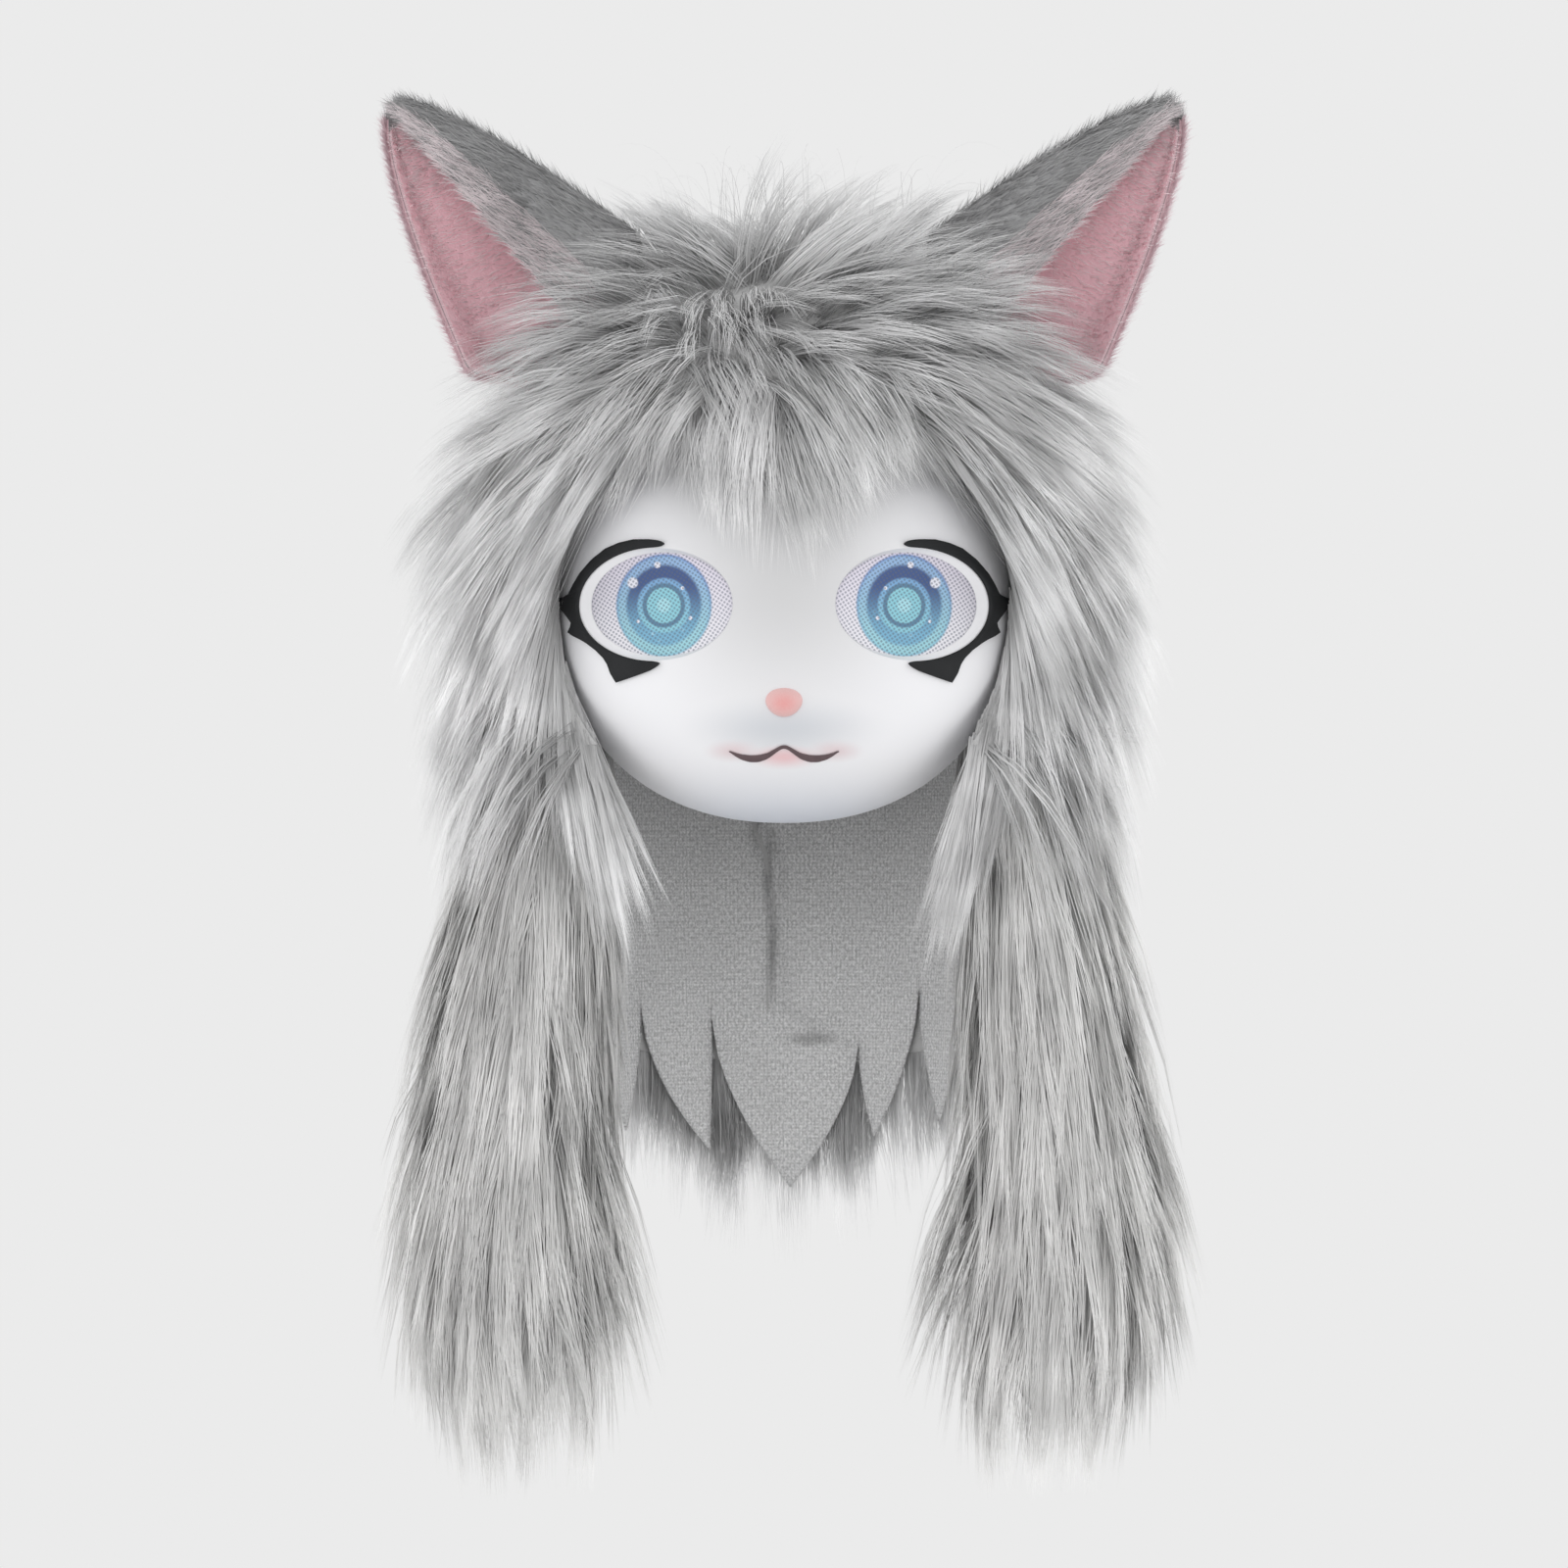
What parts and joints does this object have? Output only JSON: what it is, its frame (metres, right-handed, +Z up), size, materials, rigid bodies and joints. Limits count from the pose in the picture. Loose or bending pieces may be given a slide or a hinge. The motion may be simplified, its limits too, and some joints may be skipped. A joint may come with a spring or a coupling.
{
  "type": "fursuit head",
  "caption": "Wearable animal costume head: hard cat-face shell with mesh eyes in a padded long-fur hood with cupped ears, hanging side tresses and a petal-cut jersey nape curtain.",
  "frame": {"origin": "inner crown of the hood's jersey cap, where it sits on top of the wearer's head", "axes": "+Z up, the face looks along -Y, +X towards the viewer's right"},
  "size_m": [0.4156, 0.376, 0.7215],
  "materials": {
    "white_shell": "smooth matte white, slightly blue, faint blush at the mouth",
    "eye_mesh": "fine printed mesh, blue round iris on pinkish white",
    "black_foam": "matte closed-cell foam sheet",
    "pink_flock": "short soft flock",
    "mouth_brown": "dark brown line",
    "grey_pile": "medium pile grey faux fur",
    "pink_pile": "short pile pink faux fur",
    "grey_jersey": "heather grey jersey knit with raw edges",
    "grey_fur": "long pile silver grey faux fur with darker roots"
  },
  "bodies": {
    "root": {"face_shell": "white_shell", "eye_panel_left": "eye_mesh", "eye_panel_right": "eye_mesh", "lash_left": "black_foam", "lash_right": "black_foam", "nose": "pink_flock", "mouth_line": "mouth_brown", "ear_left": "grey_pile", "ear_right": "grey_pile", "ear_lining_left": "pink_pile", "ear_lining_right": "pink_pile", "hood_lining": "grey_jersey", "hood_fur": "grey_fur", "tress_left": "grey_fur", "tress_right": "grey_fur", "neck_curtain": "grey_jersey", "nape_fur": "grey_fur"}
  },
  "joints": []
}
